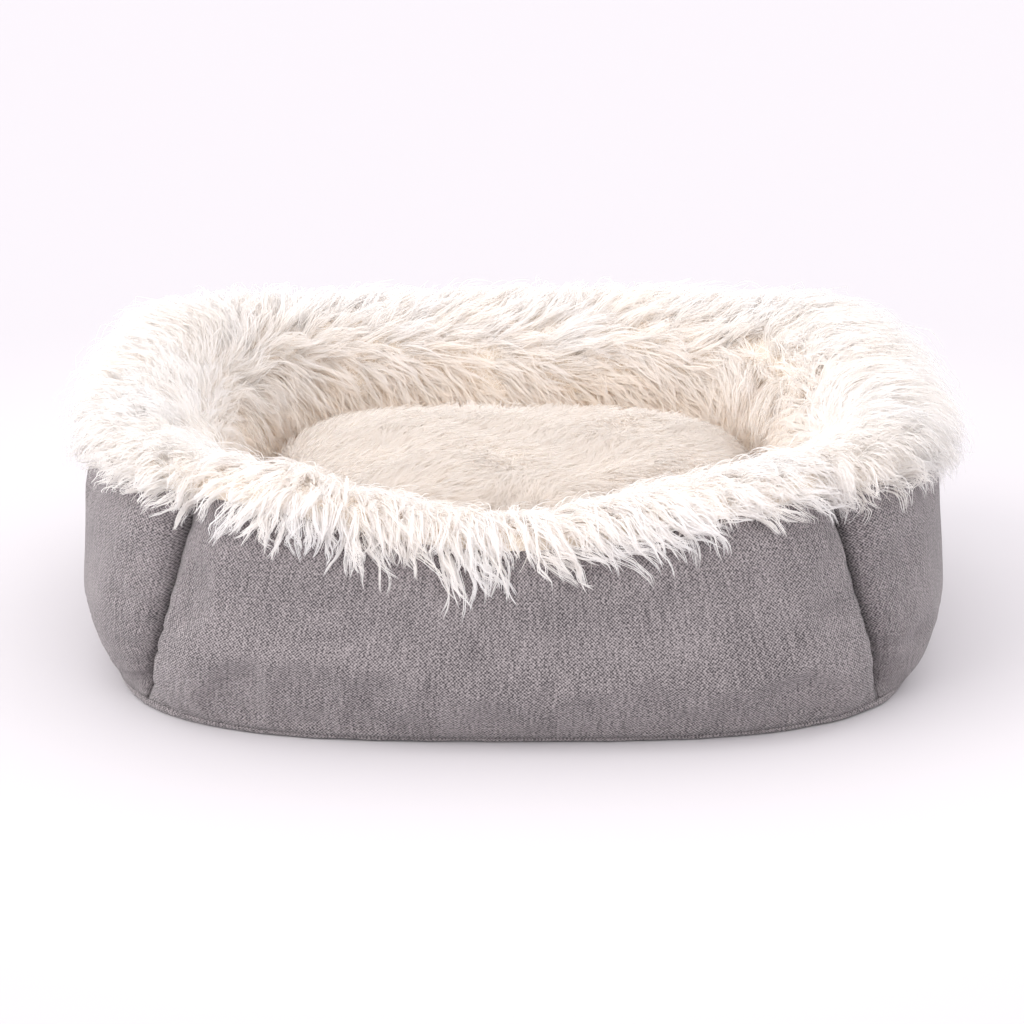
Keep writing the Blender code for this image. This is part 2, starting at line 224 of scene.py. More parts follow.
# %% Small helpers for pieces
def in_scene(name, data):
    """Makes an object of a mesh, lamp or camera and links it into the scene."""
    piece = bpy.data.objects.new(name, data)
    bpy.context.scene.collection.objects.link(piece)
    return piece


def plain_mesh(name, points, faces):
    """An object from an array of points and a list of faces."""
    mesh = bpy.data.meshes.new(name)
    mesh.from_pydata(points.reshape(-1, 3).tolist(), [], faces)
    return in_scene(name, mesh)


def place(piece, body, slot, stands_for=None):
    """Puts a piece on its body and hides the frame node that it stands for. The slot is not used."""
    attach(piece, body)
    if stands_for:
        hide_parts(stands_for)


def thicken(piece, thickness):
    """Gives a surface the thickness of its cloth, on its hidden side."""
    thick = piece.modifiers.new("thickness", "SOLIDIFY")
    thick.thickness = thickness
    thick.offset = -1.0


def stretched_sheet(piece, flat):
    """Prints a stretched sheet's name and flat size in metres."""
    flat = tuple(float(size) for size in flat)
    print(piece.name, "flat", [round(size, 3) for size in flat], "m")


# %% Cloth simulation of the outer wall
def settle(piece, held, pressure, growth, bending, steps):
    """Lets cloth with held points settle under pressure; gives back its points."""
    group = piece.vertex_groups.new(name="held")
    group.add([int(k) for k in np.nonzero(held)[0]], 1.0, "REPLACE")
    cloth = piece.modifiers.new("cloth", "CLOTH")
    rules = cloth.settings
    rules.quality = 6
    rules.mass = 0.25
    rules.vertex_group_mass = "held"
    rules.tension_stiffness = rules.compression_stiffness = 18
    rules.shear_stiffness = 8
    rules.bending_stiffness = bending
    rules.use_pressure = True
    rules.uniform_pressure_force = pressure
    rules.shrink_min = -growth
    rules.effector_weights.gravity = 0.0
    cloth.collision_settings.use_collision = False
    scene = bpy.context.scene
    cloth.point_cache.frame_start = 1
    cloth.point_cache.frame_end = steps
    for step in range(1, steps + 1):
        scene.frame_set(step)
    settled = piece.evaluated_get(bpy.context.evaluated_depsgraph_get())
    points = np.array([v.co[:] for v in settled.data.vertices])
    scene.frame_set(1)
    bpy.data.objects.remove(piece, do_unlink=True)
    return points


def capped(before, after, limit):
    """Points moved towards where they settled, but no farther than the limit."""
    move = after - before
    far = np.linalg.norm(move, axis=-1, keepdims=True)
    return before + move * np.minimum(1.0, limit / np.maximum(far, 1e-9))


def ring_faces(column_count, row_count):
    """Faces of a grid that closes round its columns."""
    index = np.arange(column_count * row_count).reshape(column_count, row_count)
    after = np.roll(index, -1, 0)
    corners = [index[:, :-1], after[:, :-1], after[:, 1:], index[:, 1:]]
    return np.stack(corners, -1).reshape(-1, 4).tolist()


outer_count = OUTER_ROWS + 1
outer = wall[:, :outer_count]
trial = plain_mesh("outer_trial", outer, ring_faces(COLUMNS, outer_count))
held = np.zeros((COLUMNS, outer_count))
held[:, 0] = held[:, -1] = 1.0
held[seam_columns[:-1]] = 1.0
settled = settle(trial, held.ravel(), 0.8, 0.020, 0.5, 24).reshape(outer.shape)
moved = np.linalg.norm(settled - outer, axis=-1)
print("cloth moved up to", round(float(moved.max()) * 1000, 1), "mm")
wall[:, :outer_count] = capped(outer, settled, 0.0045)
wall[..., 2] = np.maximum(wall[..., 2], 0.0036)
wall_normal, cell_around, cell_across = surface_frame(wall)

# %% [markdown]
# ## Colours and nodes
#
# Colours are written as sRGB hex numbers, as a paint chart would give them, and one function turns
# them into the linear light that Blender mixes. Another adds a node to a material and wires it up.


# %% Material helpers
def linear(hex_colour, alpha=1.0):
    """Linear light of an sRGB hex colour."""
    parts = [int(hex_colour[k:k + 2], 16) / 255 for k in (1, 3, 5)]
    return tuple(p / 12.92 if p <= 0.04045 else ((p + 0.055) / 1.055) ** 2.4 for p in parts) + (alpha,)


def add(material, kind, settings=None, **links):
    """Adds a node; a link is input_name=(node, output) or a plain value, with _ for a space."""
    node = material.node_tree.nodes.new(kind)
    for name, value in (settings or {}).items():
        setattr(node, name, value)
    for name, value in links.items():
        key = int(name[2:]) if name.startswith("in") and name[2:].isdigit() else name.replace("_", " ")
        socket = node.inputs[key]
        if isinstance(value, tuple) and len(value) == 2 and hasattr(value[0], "outputs"):
            material.node_tree.links.new(value[0].outputs[value[1]], socket)
        else:
            socket.default_value = value
    return node


def start_material(name, roughness, sheen=0.0, ior=1.5, metallic=0.0):
    """A new material with its shader's plain values set."""
    material = bpy.data.materials.new(name)
    material.use_nodes = True
    shader = material.node_tree.nodes["Principled BSDF"]
    shader.inputs["Roughness"].default_value = roughness
    shader.inputs["IOR"].default_value = ior
    shader.inputs["Metallic"].default_value = metallic
    shader.inputs["Sheen Weight"].default_value = sheen
    shader.inputs["Sheen Roughness"].default_value = 0.5
    return material, shader


def wire(material, node, output, shader, socket):
    """Links a node's output to a socket."""
    material.node_tree.links.new(node.outputs[output], shader.inputs[socket])


def blend(material, factor, low, high):
    """Mixes two paint colours by a factor, from low at 0 to high at 1."""
    mix = add(material, "ShaderNodeMix", {"data_type": "RGBA"}, Factor=factor)
    mix.inputs[6].default_value = linear(low)
    mix.inputs[7].default_value = linear(high)
    return mix


# %% [markdown]
# ## Grey upholstery cloth
#
# The outside is a polyester-linen basket weave: thick, matt threads, dyed in light and dark grey and
# twisted together, so that each crossing catches a different tone. The threads are about 1.2 mm
# apart, a pair every 2.4 mm. The map is in metres, so the weave follows the cloth round every bulge.
# The crossings are two sine waves multiplied, shifted about by noise. A real weave could be drawn
# thread by thread, but at this size only the tone of each crossing shows.

# %% Woven cloth material
THREAD = 0.00122


def woven_material(name, dark, light, bump):
    """Heathered basket weave, dyed in two tones."""
    material, shader = start_material(name, 0.93, sheen=0.18)
    cloth = add(material, "ShaderNodeUVMap", {"uv_map": "cloth"})
    wander = add(material, "ShaderNodeTexNoise", {"noise_dimensions": "2D"}, Vector=(cloth, "UV"),
                 Scale=230.0, Detail=1.0)
    centred = add(material, "ShaderNodeVectorMath", {"operation": "SUBTRACT"}, in0=(wander, "Color"),
                  in1=(0.5, 0.5, 0.5))
    shifted = add(material, "ShaderNodeVectorMath", {"operation": "MULTIPLY_ADD"}, in0=(centred, "Vector"),
                  in1=(0.0012, 0.0012, 0.0), in2=(cloth, "UV"))
    turned = add(material, "ShaderNodeVectorMath", {"operation": "SCALE"}, in0=(shifted, "Vector"),
                 Scale=math.pi / THREAD)
    parts = add(material, "ShaderNodeSeparateXYZ", in0=(turned, "Vector"))
    warp = add(material, "ShaderNodeMath", {"operation": "SINE"}, in0=(parts, "X"))
    weft = add(material, "ShaderNodeMath", {"operation": "SINE"}, in0=(parts, "Y"))
    crossing = add(material, "ShaderNodeMath", {"operation": "MULTIPLY"}, in0=(warp, 0), in1=(weft, 0))
    knots = add(material, "ShaderNodeMapRange", in0=(crossing, 0), From_Min=-0.75, From_Max=0.75)
    heather = add(material, "ShaderNodeTexNoise", {"noise_dimensions": "2D"}, Vector=(cloth, "UV"),
                  Scale=560.0, Detail=2.0, Roughness=0.7)
    slubs = add(material, "ShaderNodeMapping", Vector=(cloth, "UV"), Scale=(520.0, 45.0, 1.0))
    slub = add(material, "ShaderNodeTexNoise", {"noise_dimensions": "2D"}, Vector=(slubs, "Vector"),
               Scale=1.0, Detail=2.0)
    wear = add(material, "ShaderNodeTexNoise", {"noise_dimensions": "2D"}, Vector=(cloth, "UV"),
               Scale=22.0, Detail=3.0)
    tone = add(material, "ShaderNodeMath", {"operation": "MULTIPLY_ADD"}, in0=(knots, "Result"), in1=0.78,
               in2=-0.39)
    for source, amount in ((heather, 1.9), (slub, 0.60), (wear, 0.30)):
        around_zero = add(material, "ShaderNodeMath", {"operation": "SUBTRACT"}, in0=(source, "Fac"), in1=0.5)
        tone = add(material, "ShaderNodeMath", {"operation": "MULTIPLY_ADD"}, in0=(around_zero, 0), in1=amount,
                   in2=(tone, 0))
    lifted = add(material, "ShaderNodeMath", {"operation": "ADD", "use_clamp": True}, in0=(tone, 0), in1=0.5)
    wire(material, blend(material, (lifted, 0), dark, light), 2, shader, "Base Color")
    raised = add(material, "ShaderNodeBump", Strength=bump, Distance=0.0012, Height=(lifted, 0))
    wire(material, raised, "Normal", shader, "Normal")
    return material


grey_cloth = woven_material("grey_basket_weave", "#393538", "#a8a0a1", bump=0.6)
print("grey cloth:", len(grey_cloth.node_tree.nodes), "nodes, thread", THREAD * 1000, "mm")

# %% [markdown]
# ## The four outer panels
#
# On the real bed four pieces of cloth meet in corner seams. One closed ring would have been
# simpler, but separate panels give real creases where they meet. Each is cut from the settled
# surface, turned in at its seam edges, and given the cloth's thickness with Solidify.


# %% Panels from the wall grid
def grid_piece(name, points, material, cloth_map=None):
    """A smooth quad mesh from a grid of points, with a bake map and a map in metres."""
    count_c, count_r = points.shape[:2]
    index = np.arange(count_c * count_r).reshape(count_c, count_r)
    a, b, c, d = index[:-1, :-1], index[1:, :-1], index[1:, 1:], index[:-1, 1:]
    quads = np.stack([a, b, c, d], -1).reshape(-1, 4)
    mesh = bpy.data.meshes.new(name)
    mesh.vertices.add(count_c * count_r)
    mesh.vertices.foreach_set("co", points.astype(np.float32).ravel())
    mesh.loops.add(quads.size)
    mesh.loops.foreach_set("vertex_index", quads.astype(np.int32).ravel())
    mesh.polygons.add(len(quads))
    mesh.polygons.foreach_set("loop_start", np.arange(0, quads.size, 4, dtype=np.int32))
    mesh.update(calc_edges=True)
    if cloth_map is not None:
        low, high = cloth_map.reshape(-1, 2).min(0), cloth_map.reshape(-1, 2).max(0)
        bake_map = (cloth_map - low) / (high - low) * 0.98 + 0.01
        for title, coords in (("cloth", cloth_map), ("OFBake", bake_map)):
            layer = mesh.uv_layers.new(name=title)
            layer.uv.foreach_set("vector", coords.reshape(-1, 2)[quads.ravel()].astype(np.float32).ravel())
    mesh.materials.append(material)
    mesh.shade_smooth()
    return in_scene(name, mesh)


def side_columns(side):
    """The wall's columns on one side, with both seams."""
    start = seam_columns[SIDES.index(side)]
    return np.arange(start, start + SIDE_COLUMNS[side] + 1) % COLUMNS


def metres_map(points):
    """Position of each grid point on the flat cloth, in metres, measured at the middle row."""
    around = np.linalg.norm(np.diff(points[:, points.shape[1] // 2], axis=0), axis=-1)
    across = np.linalg.norm(np.diff(points, axis=1), axis=-1)
    u = np.concatenate([[0.0], np.cumsum(around)])
    v = np.concatenate([np.zeros((len(points), 1)), np.cumsum(across, axis=1)], axis=1)
    return np.stack([np.broadcast_to(u[:, None], v.shape), v], -1)


CLOTH_THICKNESS = 0.0012
TURN_IN = (0.0040, 0.0016, 0.0005)   # how far each panel's edge turns in at its seams
for side in SIDES:
    pick = side_columns(side)
    points = wall[pick, :outer_count].copy()
    normals = wall_normal[pick, :outer_count]
    for step, depth in enumerate(TURN_IN):
        fade = np.clip(np.arange(outer_count) / 3.0, 0.0, 1.0)[:, None]
        points[step] -= depth * fade * normals[step]
        points[-1 - step] -= depth * fade * normals[-1 - step]
    panel = grid_piece(side + "_grey_panel", points, grey_cloth, cloth_map=metres_map(points))
    thicken(panel, CLOTH_THICKNESS)
    place(panel, "bed", "grey_cloth", side + "_outer_panel")
    stretched_sheet(panel, metres_map(points).reshape(-1, 2).max(0))

# %% [markdown]
# ## Welt, base and what is inside
#
# A narrow hem closes the foot of the wall. The weight of the bed tucks it under along the straight
# runs, and it only shows near the corners. The floor side is a plain cloth with rubbery dots, which
# keep the bed from sliding. The stuffing and the pad are never seen, but they are there, in the
# finish of loose polyester.

# %% Hem at the foot
hem_plan = np.concatenate([
    outline(FOOT_HALF, FOOT_POWER, FOOT_CORNER, side, column_along[column_side == k])
    for k, side in enumerate(SIDES)])
hem_ahead = np.roll(hem_plan, -1, 0) - np.roll(hem_plan, 1, 0)
hem_out = np.stack([hem_ahead[:, 1], -hem_ahead[:, 0]], -1)
hem_out /= np.linalg.norm(hem_out, axis=1, keepdims=True)
hem_waver = ring_noise(9, 90, 3, np.arange(COLUMNS), np.zeros(COLUMNS))
hem_place = -0.0032 + 0.0042 * np.abs(column_along) ** 5 + 0.0006 * hem_waver
turns = np.linspace(0.0, 2 * np.pi, 13)
hem = np.zeros((COLUMNS, len(turns), 3))
hem[..., :2] = (hem_plan[:, None]
                + (hem_place[:, None] + 0.0018 * np.cos(turns))[..., None] * hem_out[:, None])
hem[..., 2] = 0.0030 + (0.0025 + 0.0003 * hem_waver[:, None]) * np.sin(turns)
hem = np.concatenate([hem, hem[:1]])
hem_piece = grid_piece("foot_hem", hem, grey_cloth, cloth_map=metres_map(hem))
place(hem_piece, "bed", "grey_cloth", "base_welt")
print("hem", len(hem), "x", len(turns), "points")


# %% Plain cloths and fibre
def soft_material(name, low, high, scale, roughness=0.9, bump=0.3, distance=0.001):
    """Matt cloth or fibre whose tone and height follow one noise."""
    material, shader = start_material(name, roughness, sheen=0.1)
    where = add(material, "ShaderNodeTexCoord")
    grain = add(material, "ShaderNodeTexNoise", Vector=(where, "Object"), Scale=scale, Detail=5.0,
                Roughness=0.65)
    wire(material, blend(material, (grain, "Fac"), low, high), 2, shader, "Base Color")
    raised = add(material, "ShaderNodeBump", Strength=bump, Distance=distance, Height=(grain, "Fac"))
    wire(material, raised, "Normal", shader, "Normal")
    return material


fibre = soft_material("polyester_fibre", "#dcdcda", "#ffffff", 180.0, bump=0.8, distance=0.003)
lining_cloth = soft_material("cotton_lining", "#ddd4c9", "#f3ece3", 900.0)
nonslip_cloth = soft_material("nonslip_base_cloth", "#4d4a4c", "#7a7678", 700.0)
rubber = soft_material("grip_dot_rubber", "#3a383a", "#464446", 300.0, roughness=0.6, bump=0.1)
# The fur backing is painted darker and creamier, as painted shade: where the hairs part, it shows as dark as
# the shaded hairs round it.
undercoat = soft_material("shaded_fur_backing", "#e3d9cc", "#f3ebe0", 260.0, bump=0.6, distance=0.002)
plush_backing = soft_material("plush_backing", "#e8e1da", "#efe9e2", 260.0, bump=0.6, distance=0.002)
tape_cloth = soft_material("zip_tape_cloth", "#d8cdbf", "#efe6db", 1200.0)


def dress(node, material):
    """Gives a frame node that stays as it is a material."""
    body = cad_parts[node]
    body = body if hasattr(body, "material_slots") else bpy.data.objects[node]
    body.data.materials.clear()
    body.data.materials.append(material)


dress("base_pad", fibre)


# %% [markdown]
# ## Base, inner floor and grip dots
#
# Both floors are single cut sheets, sewn in all round. The lower one is flat on the ground. The upper
# one lies on the pad, with its edge turned up behind the foot of the fur. Each is drawn as rings that
# shrink from its outline, which keeps its edge exactly on the wall. The dots of rubber are printed on
# the lower cloth in staggered rows; they stand a millimetre proud, so they are real geometry.

# %% Base cloth and inner floor
def disc(name, rim, heights, material):
    """A sheet from rings that shrink a rim outline towards the middle; heights go rim to middle."""
    shares = np.cos(np.linspace(0.0, 0.49 * np.pi, len(heights)))
    points = np.zeros((len(rim) + 1, len(heights), 3))
    ring = np.concatenate([rim, rim[:1]])
    points[..., :2] = ring[:, None] * shares[None, :, None]
    points[..., 2] = np.asarray(heights)[None]
    return grid_piece(name, points, material, cloth_map=points[..., :2].copy())


base_rim = hem_plan - 0.0040 * hem_out
base_cloth = disc("base_cloth", base_rim[::4], [0.0016] * 9, nonslip_cloth)
floor_rim = (wall - 0.0016 * wall_normal)[::4, -1, :2]
swell = 0.0165 - 0.0012 * np.cos(np.linspace(0.0, 0.5 * np.pi, 14)) ** 6
swell[0] = float(wall[:, -1, 2].max()) + 0.001   # the edge is turned up behind the foot of the fur
floor_cloth = disc("inner_floor_cloth", floor_rim, swell, lining_cloth)
for piece, node, slot, half in ((base_cloth, "base_panel", "nonslip_cloth", FOOT_HALF),
                                (floor_cloth, "inner_floor_panel", "lining", WELL_HALF)):
    place(piece, "bed", slot, node)
    stretched_sheet(piece, (2 * half[0], 2 * half[1]))

# %% Grip dots
DOT_PITCH = 0.018
DOT_RADIUS = 0.0030
rows_of_dots = int(2 * FOOT_HALF[1] / (DOT_PITCH * 0.866))
dots = []
for row in range(rows_of_dots + 1):
    y = (row - 0.5 * rows_of_dots) * DOT_PITCH * 0.866
    for step in range(-17, 18):
        x = (step + 0.5 * (row % 2)) * DOT_PITCH
        if (abs(x) / (FOOT_HALF[0] - 0.014)) ** 3.2 + (abs(y) / (FOOT_HALF[1] - 0.014)) ** 3.2 < 1.0:
            dots.append((x, y))
dots = np.array(dots)
dot_rings = ((1.0, 0.0017), (0.92, 0.0008), (0.6, 0.0002), (0.05, 0.0001))   # radius, height
one_dot = np.array([(radius * DOT_RADIUS * np.cos(turn), radius * DOT_RADIUS * np.sin(turn), z)
                    for turn in np.linspace(0, 2 * np.pi, 11)[:-1] for radius, z in dot_rings])
dot_faces = np.array(ring_faces(10, len(dot_rings)))[:, ::-1]
at = np.concatenate([dots, np.zeros((len(dots), 1))], 1)
first = len(one_dot) * np.arange(len(dots))
grip = plain_mesh("grip_dots", at[:, None] + one_dot[None],
                  (first[:, None, None] + dot_faces[None]).reshape(-1, 4).tolist())
grip.data.materials.append(rubber)
grip.data.shade_smooth()
place(grip, "bed", "nonslip_cloth")
print(len(dots), "grip dots")

# %% [markdown]
# ## The stuffing of each side
#
# The frame's fill solids would show through the drawn-in seams, so new ones are cut from the same
# settled surface, a few millimetres behind the cloth, and closed along the base.

# %% Bolster fills
FILL_INSET = 0.0045
for side in SIDES:
    pick = side_columns(side)[2:-2:2]
    body_points = (wall - FILL_INSET * wall_normal)[pick][:, ::3]
    low_in = body_points[:, -1:].copy()
    low_in[..., 2] = 0.0024
    low_out = low_in.copy()
    low_out[..., :2] = 0.975 * foot_plan[pick][:, None]
    closed = np.concatenate([low_out, body_points, low_in, low_out], 1)
    closed[..., 2] = np.maximum(closed[..., 2], 0.0024)
    filling = grid_piece(side + "_stuffing", closed, fibre)
    place(filling, "bed", "fibre", side + "_bolster_fill")
    print(filling.name, closed.shape[0], "x", closed.shape[1], "points")

# %% [markdown]
# ## Long-pile fur
#
# The rim and the inside are faux fur: acrylic hairs about 50 mm long, in tufts, on a knitted
# backing. Blender can grow such a coat with its hair tools, but a model that others will use needs
# plain meshes, so each hair here is a thin ribbon. The coat is made in two steps, as a groomer would
# think of it. First some thousands of guide hairs are combed over the surface. Then three wavy
# strands of five hairs follow each guide, spread at the root and drawn together towards the tip,
# which is what makes a tuft.

# %% Reading the wall between its grid points
def unit(v):
    """Vectors scaled to a length of one."""
    return v / np.maximum(np.linalg.norm(v, axis=-1, keepdims=True), 1e-9)


def read_grid(values, col, row):
    """Values of a ring grid at any place between its points, by bilinear interpolation."""
    count, rows = values.shape[:2]
    col = np.mod(col, count)
    row = np.clip(row, 0.0, rows - 1.001)
    c0 = np.minimum(np.floor(col).astype(int), count - 1)
    r0 = np.floor(row).astype(int)
    c1 = (c0 + 1) % count
    fc, fr = (col - c0)[..., None], (row - r0)[..., None]
    low = values[c0, r0] * (1 - fc) + values[c1, r0] * fc
    high = values[c0, r0 + 1] * (1 - fc) + values[c1, r0 + 1] * fc
    return low * (1 - fr) + high * fr


fields = np.concatenate([wall, wall_normal, cell_around[..., None], cell_across[..., None]], -1)


def read_wall(col, row):
    """Point, normal and cell size at any place on the wall."""
    out = read_grid(fields, col, row)
    return out[..., :3], out[..., 3:6], out[..., 6], out[..., 7]


def comb(col, row, length, bearing, curl, steps):
    """Guide paths along the wall: bearing 0 is down the outside, pi is down into the well."""
    path = np.zeros((steps + 1, 2, len(col)))
    path[0] = col, row
    for k in range(steps):
        _, _, around, across = read_wall(path[k, 0], path[k, 1])
        angle = bearing + curl * ((k + 0.5) / steps) ** 1.5
        path[k + 1, 0] = path[k, 0] + length / steps * np.sin(angle) / around
        path[k + 1, 1] = path[k, 1] - length / steps * np.cos(angle) / across
    return path


def random_roots(rng, count, first_row, last_row):
    """Roots spread evenly by area between two rows."""
    col = rng.uniform(0, COLUMNS, 3 * count)
    row = rng.uniform(first_row, last_row, 3 * count)
    _, _, around, across = read_wall(col, row)
    area = around * across
    keep = rng.uniform(0, 1, 3 * count) < area / area.max()
    return col[keep][:count], row[keep][:count]


# %% One mesh of many ribbons
SIDE_LEAN = 0.40


def ribbons(name, paths, widths, sides, normals, along, tone, material):
    """Strands as flat ribbons that end in a point; paths is (strands, points, 3).

    The ribbons are shaded with the normals of the coat, leaned a little to each side, so that a flat
    strand looks round and the coat as a whole looks soft.
    """
    strands, points = paths.shape[:2]
    left = paths[:, :-1] - 0.5 * widths[:, :-1, None] * sides[:, :-1]
    right = paths[:, :-1] + 0.5 * widths[:, :-1, None] * sides[:, :-1]
    pairs = np.stack([left, right], 2).reshape(strands, -1, 3)
    co = np.concatenate([pairs, paths[:, -1:]], 1)
    per = co.shape[1]
    quads = [(2 * k, 2 * k + 1, 2 * k + 3, 2 * k + 2) for k in range(points - 2)]
    pattern = np.array([i for quad in quads for i in quad] + [per - 3, per - 2, per - 1])
    loops = (np.arange(strands)[:, None] * per + pattern[None]).ravel()
    sizes = np.tile(np.array([4] * len(quads) + [3]), strands)
    starts = np.concatenate([[0], np.cumsum(sizes)[:-1]])
    mesh = bpy.data.meshes.new(name)
    mesh.vertices.add(strands * per)
    mesh.vertices.foreach_set("co", co.astype(np.float32).ravel())
    mesh.loops.add(len(loops))
    mesh.loops.foreach_set("vertex_index", loops.astype(np.int32))
    mesh.polygons.add(len(sizes))
    mesh.polygons.foreach_set("loop_start", starts.astype(np.int32))
    mesh.update(calc_edges=True)
    up = np.concatenate([np.repeat(along[:, :-1], 2, axis=1), along[:, -1:]], 1)
    hue = np.repeat(tone[:, None], per, axis=1)
    for title, values in (("along", up), ("tone", hue)):
        layer = mesh.attributes.new(title, "FLOAT", "POINT")
        layer.data.foreach_set("value", values.astype(np.float32).ravel())
    layer = mesh.uv_layers.new(name="OFBake")
    edge = np.concatenate([np.tile([-0.004, 0.004], points - 1), [0.0]])[None]
    uv = np.stack([0.01 + 0.98 * np.clip(hue + edge, 0, 1), 0.01 + 0.98 * up], -1)
    layer.uv.foreach_set("vector", uv.reshape(-1, 2)[loops].astype(np.float32).ravel())
    mesh.materials.append(material)
    mesh.shade_smooth()
    leant = np.stack([unit(normals - SIDE_LEAN * sides), unit(normals + SIDE_LEAN * sides)], 2)[:, :-1]
    shading = np.concatenate([leant.reshape(strands, -1, 3), normals[:, -1:]], 1)
    own = mesh.attributes.new("custom_normal", "FLOAT_VECTOR", "POINT")
    own.data.foreach_set("vector", shading.astype(np.float32).ravel())
    return in_scene(name, mesh)


def between(path, t):
    """Reads guide paths (steps + 1, parts, guides) at t (guides, points), both from 0 to 1."""
    steps = path.shape[0] - 1
    place = np.clip(t * steps, 0, steps - 1e-6)
    base = np.floor(place).astype(int)
    part = place - base
    guide = np.arange(path.shape[2])[:, None]
    return [path[base, k, guide] * (1 - part) + path[base + 1, k, guide] * part
            for k in range(path.shape[1])]


# %% [markdown]
# ## The colour of white fur
#
# Acrylic fibre is clear white at the tip and looks creamy deep in the coat, where light has bounced
# between many hairs. That bounced light is painted in as painted shade: each hair runs from a faintly
# warm root to a white tip, and hairs down in the well are painted creamier. Some hairs are also
# creamier than others at random. Its gloss is soft, as the fibres are crimped.


# %% Fur material
def fur_material(name, root, tip, shade, roughness, glow):
    """Hair: creamy at the root as painted shade, white at the tip, creamier by its tone (at random, and as
    painted shade in the well), and part of the light comes through from behind.
    """
    material, shader = start_material(name, roughness, ior=1.49)
    along = add(material, "ShaderNodeAttribute", {"attribute_name": "along"})
    tone = add(material, "ShaderNodeAttribute", {"attribute_name": "tone"})
    ramp = add(material, "ShaderNodeMapRange", {"interpolation_type": "SMOOTHSTEP"}, Value=(along, "Fac"),
               From_Min=0.0, From_Max=0.75)
    length_colour = blend(material, (ramp, "Result"), root, tip)
    part = add(material, "ShaderNodeMath", {"operation": "MULTIPLY"}, in0=(tone, "Fac"), in1=0.9)
    both = blend(material, (part, 0), root, shade)
    wire(material, length_colour, 2, both, 6)
    wire(material, both, 2, shader, "Base Color")
    behind = add(material, "ShaderNodeBsdfTranslucent", Color=(both, 2))
    mixed = add(material, "ShaderNodeMixShader", Fac=glow)
    wire(material, shader, "BSDF", mixed, 1)
    wire(material, behind, "BSDF", mixed, 2)
    wire(material, mixed, "Shader", material.node_tree.nodes["Material Output"], "Surface")
    return material


long_pile = fur_material("long_acrylic_pile", "#fdfbf9", "#fdfcfc", "#fff2df", roughness=0.6, glow=0.55)
plush_pile = fur_material("cream_plush_pile", "#f2ede8", "#f6f2ee", "#eee7df", roughness=0.7, glow=0.58)
print("fur glow", 0.55, "plush glow", 0.58)

# %% [markdown]
# ## Combing
#
# The coat parts along the rim: outside of the parting it falls over the grey cloth, and inside it
# falls into the well. It also leans to one side, a different way on each wall, as cut fur does when
# its nap runs one way. So each guide gets a bearing from where it stands, slow swirls that make the
# locks cross, and a length, which is trimmed short at the corners and on the ends. Growing the hairs
# straight and letting them fall in a simulation would need millions of contacts.

# %% Comb the guides
rng = np.random.default_rng(21)
HAIR_LIMIT = np.array([0.3325, 0.2795, 0.2015])   # no tip goes farther than this from the middle
GUIDES = 7900
STRANDS = 3
HAIRS = 5
POINTS = 8
HAIR_LENGTH = 0.050                               # of the whole pile; each guide varies round it
PARTING = OUTER_ROWS + 0.37 * FUR_ROWS
guide_col, guide_row = random_roots(rng, GUIDES, OUTER_ROWS - 1.3, ROWS - 3)
GUIDES = len(guide_col)
swirl = ring_noise(31, 16, 4, guide_col, guide_row)
fine_swirl = ring_noise(32, 60, 12, guide_col, guide_row)
lean_out = np.interp(guide_col, [0, 14, 24, 38, 76, 112, 137, 175, 215, 240, 376, 400, 430, 455, COLUMNS],
                     [-0.8, -0.6, 0.1, 0.7, 0.8, 1.0, 0.7, 0.3, -0.5, -0.9, -0.9, -0.6, -0.4, -0.6, -0.8])
turn_in = np.interp(guide_col, [0, 200, 250, 376, 420, COLUMNS], [0.3, 0.3, 0.8, 0.8, 0.4, 0.3])
turn_over = np.clip((guide_row - PARTING) / (0.28 * FUR_ROWS) + 0.5 + 0.25 * fine_swirl, 0.0, 1.0)
turn_over = turn_over * turn_over * (3 - 2 * turn_over)
to_left = np.interp(guide_col, [0, 10, 34, 180, 225, COLUMNS], [1.0, 1.0, 0.0, 0.0, 1.0, 1.0])
lean = np.where(rng.uniform(0, 1, GUIDES) < to_left, -1.0, 1.0)
bearing_out = lean_out + 0.50 * swirl + 0.35 * fine_swirl
bearing_in = lean * (np.pi - turn_in) - 0.55 * swirl - 0.4 * fine_swirl
bearing = (1 - turn_over) * bearing_out + turn_over * bearing_in
bearing += rng.normal(0, 0.22, GUIDES)
to_grey = np.clip((PARTING - guide_row) / (0.4 * FUR_ROWS), 0.0, 1.0)
curl = -0.75 * bearing_out * to_grey + rng.normal(0, 0.45, GUIDES)
length = HAIR_LENGTH * rng.uniform(0.66, 1.18, GUIDES)
length *= 1.0 - 0.42 * np.clip((guide_row - PARTING) / (0.6 * (ROWS - PARTING)), 0, 1)
on_ends = np.exp(-((guide_col - 188) / 50) ** 4) + np.exp(-((guide_col - 428) / 50) ** 4)
on_back = np.interp(guide_col, [200, 236, 260, 360, 384, 420], [0.0, 1.0, 0.35, 0.35, 1.0, 0.0])
near_edge = np.clip((OUTER_ROWS + 0.34 * FUR_ROWS - guide_row) / (0.2 * FUR_ROWS), 0.0, 1.0)
trim = np.interp(guide_col, [0, 20, 40, 60, 75, 100, 118, 137, 200, 244, 376, 420, 450, COLUMNS],
                 [0.58, 0.44, 0.28, 0.12, 0.10, 0.14, 0.42, 0.56, 0.45, 0.18, 0.18, 0.42, 0.55, 0.60])
length *= 1.0 - trim * near_edge
long_lock = near_edge * (rng.uniform(0, 1, GUIDES) < 0.16)
length *= 1.0 + 0.16 * long_lock
guide_path = comb(guide_col, guide_row, length, bearing, curl, 12)
lift = rng.uniform(0.006, 0.016, GUIDES) * (1 + 0.25 * swirl)
lift *= 1.0 - 0.35 * np.clip((guide_row - PARTING) / (0.5 * FUR_ROWS), 0, 1)
crest = np.exp(-((guide_row - OUTER_ROWS - 0.22 * FUR_ROWS) / (0.22 * FUR_ROWS)) ** 2)
